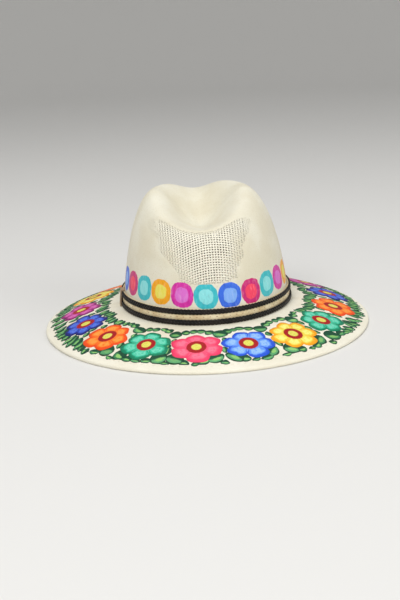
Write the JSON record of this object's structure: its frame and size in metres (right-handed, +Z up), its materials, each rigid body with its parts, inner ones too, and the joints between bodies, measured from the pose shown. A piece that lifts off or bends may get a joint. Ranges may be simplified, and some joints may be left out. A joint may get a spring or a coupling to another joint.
{
  "type": "hat",
  "caption": "Wide-brim woven straw hat with a teardrop dent in the crown, a corded hatband, a wired and hemmed brim and a sweatband inside.",
  "frame": {"origin": "on the plane that the brim's hem rests on, below the middle of the brim", "axes": "+Z up through the crown, -Y towards the wearer's front, +X towards the left side of the wearer"},
  "size_m": [0.332, 0.364, 0.139],
  "materials": {
    "crown_straw": "woven straw, primed cream",
    "brim_straw": "tightly woven straw, primed cream, painted flowers",
    "hem_cloth": "folded straw cloth",
    "wire_steel": "drawn wire",
    "ferrule_steel": "crimped",
    "thread": "cotton thread",
    "band_leather": "natural, waxed",
    "cord_leather": "black-brown, semi-gloss",
    "band_thread": "waxed thread",
    "sweatband_leather": "soft matt",
    "reed_plastic": "natural",
    "bow_ribbon": "grosgrain"
  },
  "bodies": {
    "root": {"crown": "crown_straw", "brim": "brim_straw", "brim_hem": "hem_cloth", "brim_wire": "wire_steel", "wire_ferrule": "ferrule_steel", "hem_thread": "thread", "headline_thread": "thread", "band_strip": "band_leather", "band_cord_upper": "cord_leather", "band_cord_lower": "cord_leather", "band_stitches": "band_thread", "band_keeper": "band_leather", "sweatband": "sweatband_leather", "sweatband_reed": "reed_plastic", "sweatband_thread": "thread", "sweatband_bow": "bow_ribbon"}
  },
  "joints": []
}
